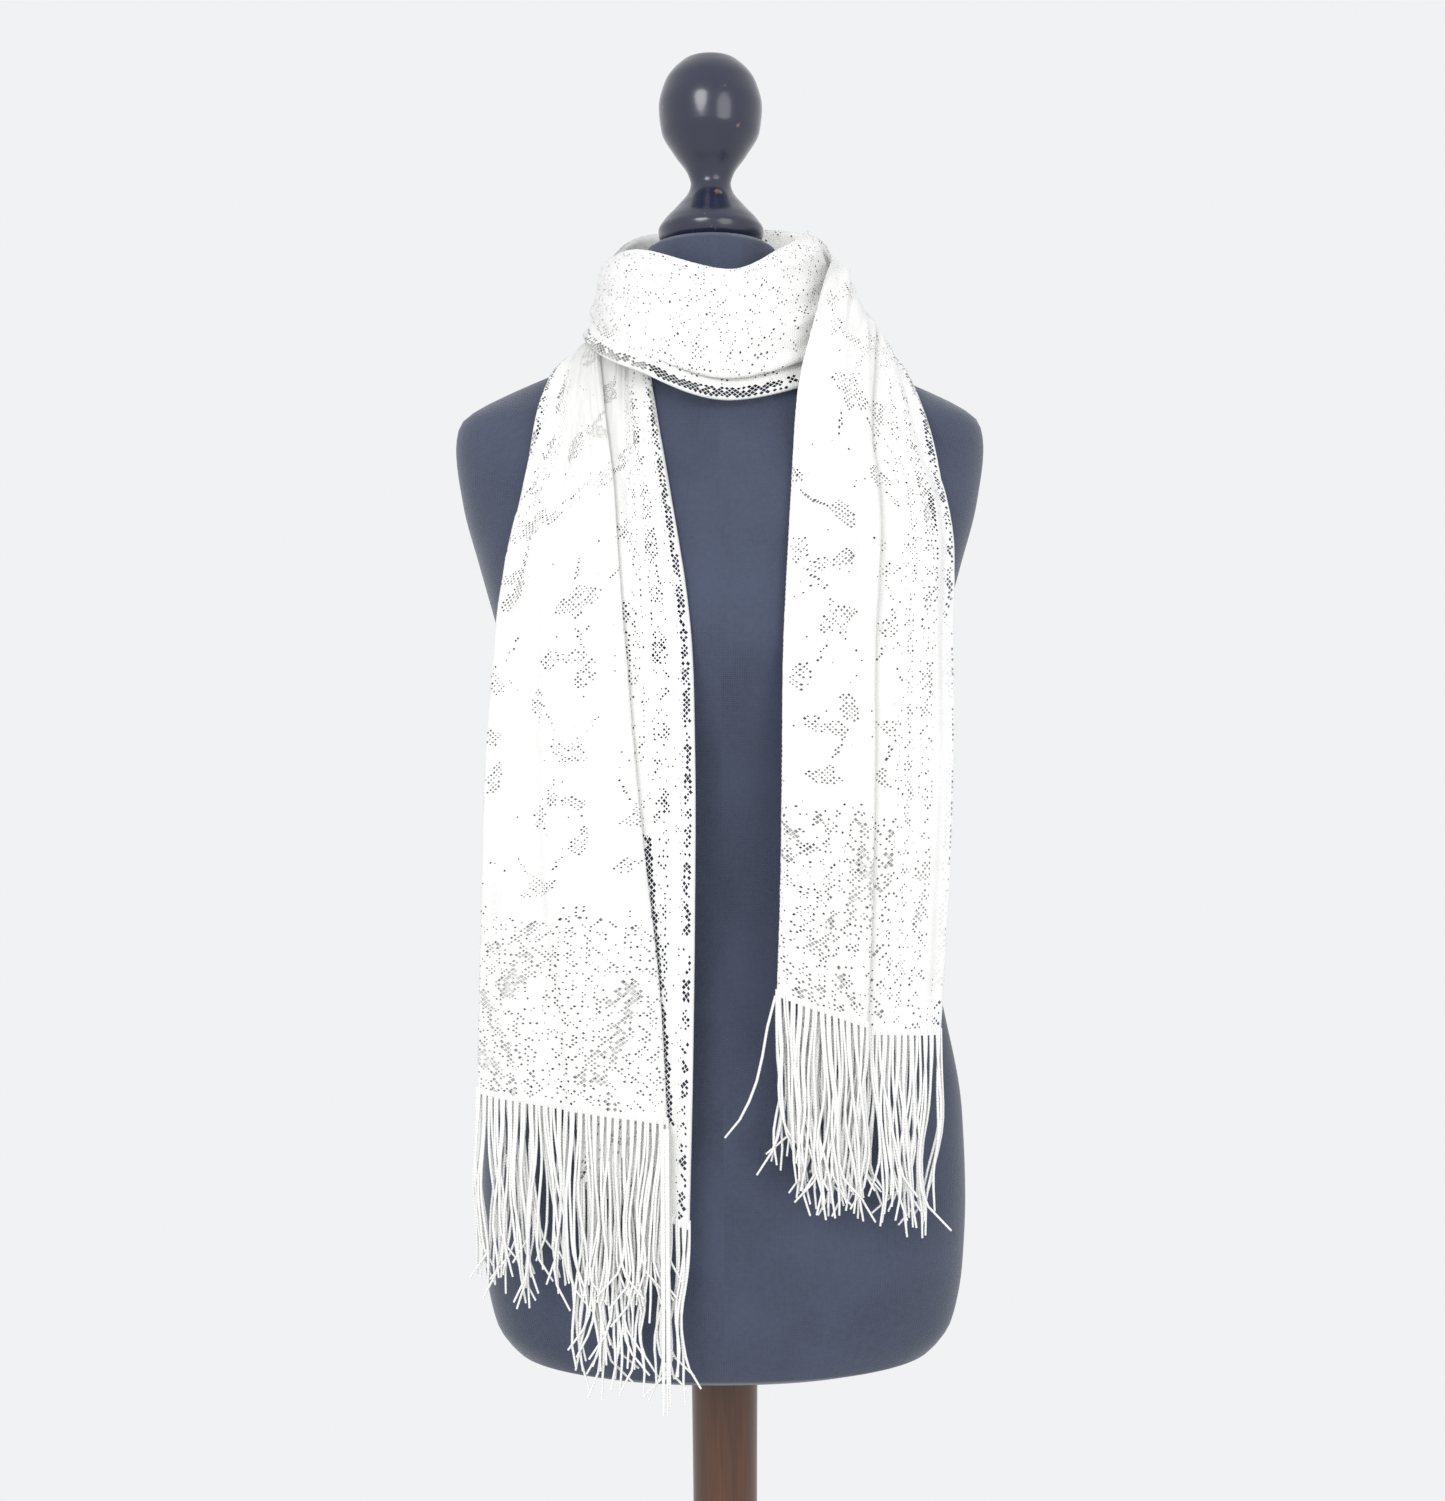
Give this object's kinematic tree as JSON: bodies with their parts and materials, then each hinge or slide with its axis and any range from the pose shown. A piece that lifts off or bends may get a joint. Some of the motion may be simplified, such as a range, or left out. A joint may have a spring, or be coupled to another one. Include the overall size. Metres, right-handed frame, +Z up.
{
  "type": "lace shawl on dress form",
  "caption": "White knitted lace shawl with fringed ends, wound once round the neck of a limbless black dress form on a turned wooden post and round foot.",
  "frame": {"origin": "on the floor, at the middle of the round foot's underside", "axes": "+Z up along the post; the form's front, with both hanging ends of the shawl, faces -Y; the end with the band over its top hangs on the -X side"},
  "size_m": [0.38, 0.38, 1.6063],
  "materials": {
    "white_lace": "matt knitted lace",
    "black_jersey": "matt fine jersey",
    "black_lacquer": "gloss lacquer",
    "brown_wood": "satin varnish"
  },
  "bodies": {
    "root": {"tail_left": "white_lace", "back_inner": "white_lace", "front_band": "white_lace", "back_outer": "white_lace", "tail_right": "white_lace", "fringe_left": "white_lace", "fringe_right": "white_lace", "form_torso": "black_jersey", "form_finial": "black_lacquer", "form_post": "brown_wood", "form_foot": "brown_wood"}
  },
  "joints": []
}
